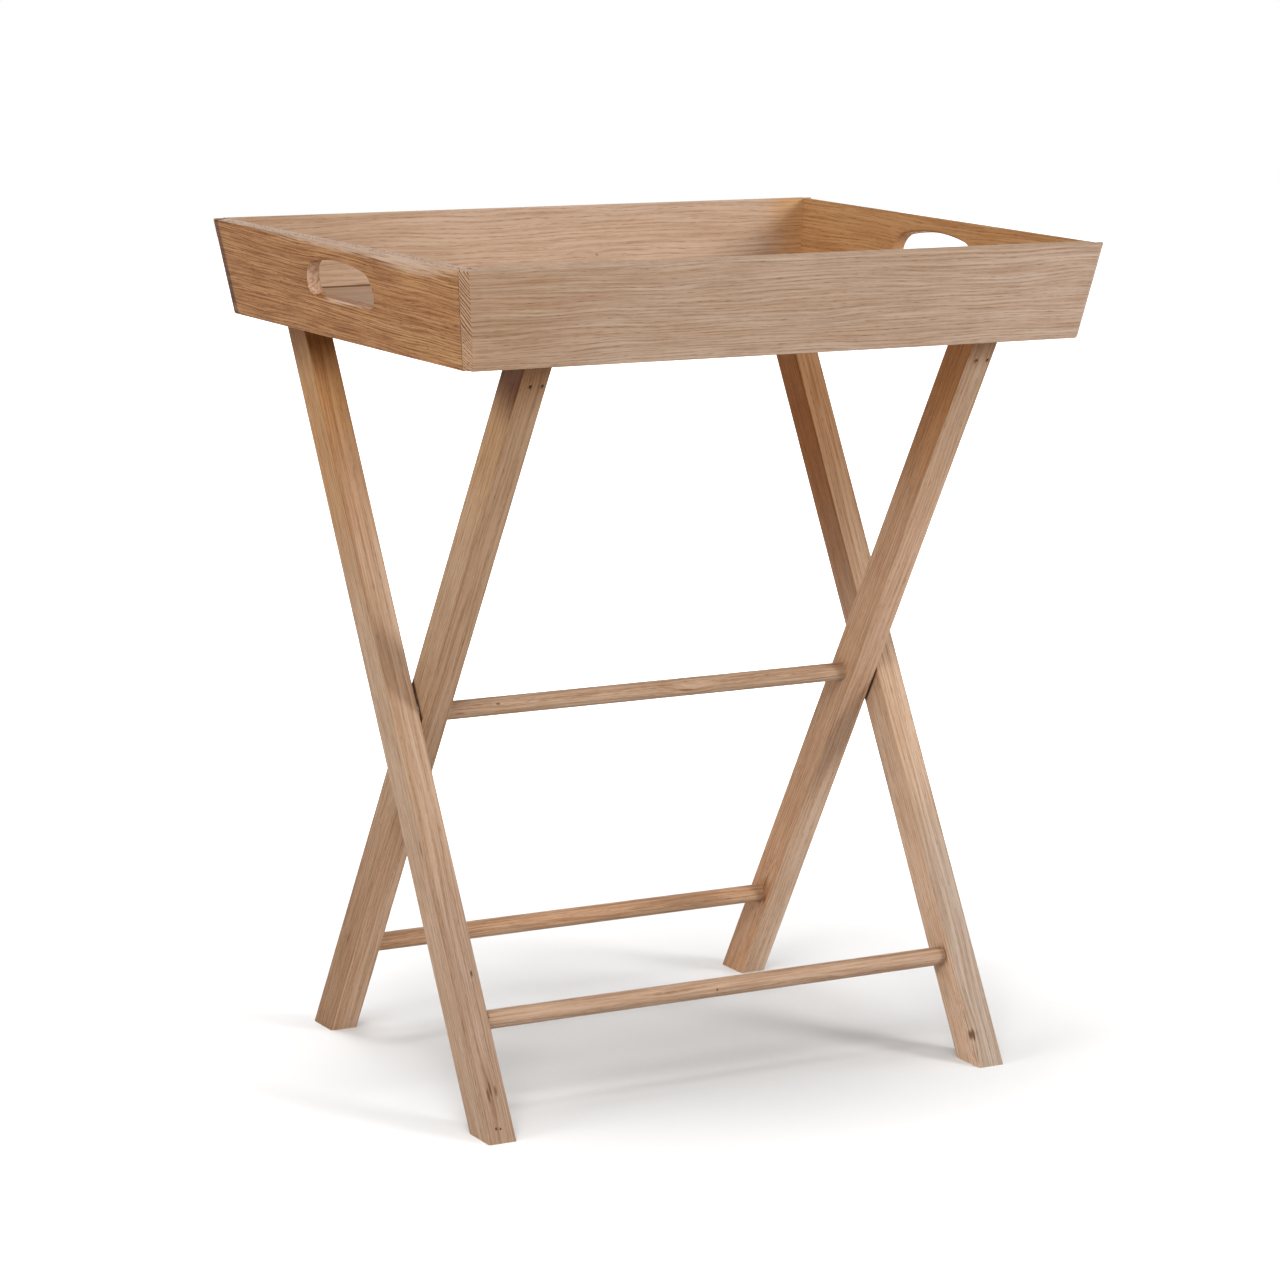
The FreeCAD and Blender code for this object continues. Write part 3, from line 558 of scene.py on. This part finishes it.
dress("inner_leg_right", leg_oak(
    "inner_right_leg_oak", INNER_RIGHT, oak_tones(205, 172, 146), pith=(-50, 130), ring=2.9, seed=13.0,
    lines=0.33, streaks=0.52,
    knots=[((-258, ON_SIDE, 4), (20, 6, 9), 3.5)],
    shades=[((60, 12, 15.2), (320, 1.7, 1.7), 0.45), ((-262, ON_SIDE, 4), (22, 6, 12), 0.65),
            ((0, ON_SIDE, 0), (13, 4, 13), 0.4)],
    marks=[((-252, ON_SIDE, 3), (12, 4, 2.2), 0.6), ((-267.8, ON_SIDE, 2.5), (9.8, 2.5, 10.2), 0.85),
           ((-321, ON_SIDE, 8), (9, 3, 1.2), 0.45), ((-0.5, ON_SIDE, 1.5), (8.9, 2.5, 9.2), 0.45),
           *nail_stains(2.8, -8.2, 1)],
    # Painted shade and painted light: both faces turn darker up the leg, the front face deep in painted shade right
    # under the tray; painted light lightens both faces towards the foot.
    aged=[(LEFT_SIDE, 140, 320, (0.81, 0.60, 0.33)), (INNER_FRONT, 140, 320, (0.80, 0.82, 0.80)),
          (LEFT_SIDE, -900, -800, (0.91, 0.84, 0.74)), (INNER_FRONT, 336, 372, (0.62, 0.50, 0.38)),
          (LEFT_SIDE, -60, -220, (1.15, 1.12, 1.11)), (INNER_FRONT, -60, -220, (1.22, 1.32, 1.40))]))

# The rungs.
dress("pivot_rung", oak(
    "pivot_rung_oak", PIVOT_RUNG, oak_tones(191, 163, 138), pith=(-14, -30), wander=4, seed=14.0,
    streaks=0.60,
    knots=[((42, 0, 8), (16, 5, 8), 4.0)],
    shades=[((-192, 0, 0), (14, 12, 12), 0.5), ((195, 0, 0), (8, 12, 12), 0.4)],
    marks=[((-148, 3, 7), (3.6, 1.3, 3), 0.95), ((-184, -2, 7), (6, 1.2, 3), 0.6),
           ((36, -1, 8), (9, 1.1, 3), 0.55)]))
dress("outer_lower_rung", oak(
    "front_rung_oak", FRONT_RUNG, oak_tones(192, 163, 139), pith=(-18, -34), wander=4, seed=15.0,
    lines=0.45, streaks=0.58,
    shades=[((-222, 0, 0), (9, 12, 12), 0.5), ((223, 0, 0), (8, 12, 12), 0.4)],
    marks=[((-224, 5.2, 6), (3.0, 2.4, 3.5), 0.85), ((-224, -4.6, 6.5), (3.2, 1.5, 3), 0.75),
           ((-5, 0, 8), (1.2, 2.4, 2), 0.7)]))
dress("inner_lower_rung", oak(
    "back_rung_oak", BACK_RUNG, oak_tones(204, 167, 136), pith=(20, -30), ring=2.4, wander=4, seed=16.0,
    lines=0.58, streaks=0.62,
    shades=[((195, 0, 0), (10, 12, 12), 0.5)],
    marks=[((-60, 1, 8), (14, 0.9, 3), 0.45), ((70, 2, 8), (18, 0.9, 3), 0.4)]))

# The nails and washers.
for nails in ("inner_rail_nails", "outer_rail_nails"):
    dress(nails, nail_steel())
for washer in ("pivot_spacer_left", "pivot_spacer_right"):
    dress(washer, washer_nylon())


def studio_floor():
    """A pale floor that is white to the camera and keeps the table's soft shadow."""
    bpy.ops.object.select_all(action="DESELECT")
    bpy.ops.mesh.primitive_plane_add(size=FLOOR_SIZE, location=(0, 0, 0))
    floor = bpy.context.object
    floor.name = "studio_floor"
    pale = Finish("pale_floor")
    path = pale.add("ShaderNodeLightPath")
    seen = pale.number("MAXIMUM", path.outputs["Is Camera Ray"], path.outputs["Is Glossy Ray"])
    seen = pale.number("MAXIMUM", seen, path.outputs["Is Transmission Ray"])
    coords = pale.add("ShaderNodeTexCoord")
    away = pale.step(pale.vector("LENGTH", coords.outputs["Object"]), SHADE_FADES, SHADE_ENDS)
    pale.feed(pale.shader.inputs["Base Color"], pale.mix(seen, BOUNCE_GREY, FLOOR_GREY))
    pale.shader.inputs["Roughness"].default_value = 0.9
    pale.shader.inputs["Specular IOR Level"].default_value = 0.0
    pale.shader.inputs["Emission Color"].default_value = WHITE
    pale.feed(pale.shader.inputs["Emission Strength"], pale.product(seen, away))
    floor.data.materials.append(pale.material)
    return floor


def soft_box(name, place, aim, size, power):
    """A large soft lamp that faces a point; lengths are in metres and the power is in watts."""
    lamp = bpy.data.lights.new(name, "AREA")
    lamp.shape = "SQUARE"
    lamp.size = size
    lamp.energy = power
    holder = bpy.data.objects.new(name, lamp)
    holder.location = place
    holder.rotation_euler = (Vector(aim) - Vector(place)).to_track_quat("-Z", "Y").to_euler()
    bpy.context.scene.collection.objects.link(holder)
    return holder


def only_lights(lamp, piece):
    """Keeps a lamp's light to one piece; everything still casts its shadow there."""
    lit = bpy.data.collections.new(lamp.name + "_lights")
    lit.objects.link(piece)
    lamp.light_linking.receiver_collection = lit


def spares(lamp, piece):
    """Keeps a lamp's light off one piece."""
    unlit = bpy.data.collections.new(lamp.name + "_spares")
    unlit.objects.link(piece)
    unlit.collection_objects[0].light_linking.link_state = "EXCLUDE"
    lamp.light_linking.receiver_collection = unlit


def white_world():
    """Even light from all round, with a white background for the camera."""
    world = bpy.data.worlds.new("white_studio")
    bpy.context.scene.world = world
    world.use_nodes = True
    nodes = world.node_tree.nodes
    nodes.clear()
    path = nodes.new("ShaderNodeLightPath")
    seen = nodes.new("ShaderNodeMath")
    seen.operation = "MAXIMUM"
    also = nodes.new("ShaderNodeMath")
    also.operation = "MAXIMUM"
    even = nodes.new("ShaderNodeBackground")
    even.inputs["Color"].default_value = WHITE
    even.inputs["Strength"].default_value = EVEN_LIGHT
    white = nodes.new("ShaderNodeBackground")
    white.inputs["Color"].default_value = WHITE
    white.inputs["Strength"].default_value = 1.0
    choose = nodes.new("ShaderNodeMixShader")
    out = nodes.new("ShaderNodeOutputWorld")
    links = world.node_tree.links
    links.new(path.outputs["Is Camera Ray"], seen.inputs[0])
    links.new(path.outputs["Is Glossy Ray"], seen.inputs[1])
    links.new(seen.outputs[0], also.inputs[0])
    links.new(path.outputs["Is Transmission Ray"], also.inputs[1])
    links.new(also.outputs[0], choose.inputs[0])
    links.new(even.outputs[0], choose.inputs[1])
    links.new(white.outputs[0], choose.inputs[2])
    links.new(choose.outputs[0], out.inputs[0])


def photo_camera():
    """The camera at the photo's viewing angle."""
    yaw, pitch, roll = (math.radians(angle) for angle in (CAMERA_YAW, CAMERA_PITCH, CAMERA_ROLL))
    ahead = Vector((-math.sin(yaw) * math.cos(pitch), math.cos(yaw) * math.cos(pitch), math.sin(pitch)))
    right = Vector((math.cos(yaw), math.sin(yaw), 0))
    up = right.cross(ahead)
    right, up = math.cos(roll) * right + math.sin(roll) * up, math.cos(roll) * up - math.sin(roll) * right
    lens = bpy.data.cameras.new("photo_camera")
    lens.sensor_fit = "HORIZONTAL"
    lens.sensor_width = SENSOR_WIDTH
    lens.lens = SENSOR_WIDTH * FOCAL_LENGTH / FRAME_WIDTH
    lens.clip_end = 60.0
    camera = bpy.data.objects.new("photo_camera", lens)
    turned = Matrix((right, up, -ahead)).transposed().to_4x4()
    camera.matrix_world = Matrix.Translation(CAMERA_PLACE) @ turned
    bpy.context.scene.collection.objects.link(camera)
    bpy.context.scene.camera = camera


floor = studio_floor()
white_world()
table_middle = (0, 0, 0.45)
soft_box("right_key_box", (3.23, -4.62, 2.50), table_middle, 1.6, 182)
soft_box("right_side_box", (4.90, -0.43, 3.89), table_middle, 1.6, 28)
soft_box("left_front_box", (-2.95, -3.52, 4.31), table_middle, 2.4, 170)
soft_box("left_low_box", (-5.67, -1.52, 1.70), table_middle, 2.4, 60)
soft_box("left_back_box", (-5.36, 0.94, 2.99), table_middle, 2.4, 67)
spares(soft_box("back_fill_box", (1.9, 5.3, 0.9), table_middle, 2.4, 90), floor)
only_lights(soft_box("floor_top_box", (-0.40, 0.35, 8.0), (0, -0.1, 0), 5.4, 725), floor)
photo_camera()
bpy.context.scene.view_settings.view_transform = "Standard"
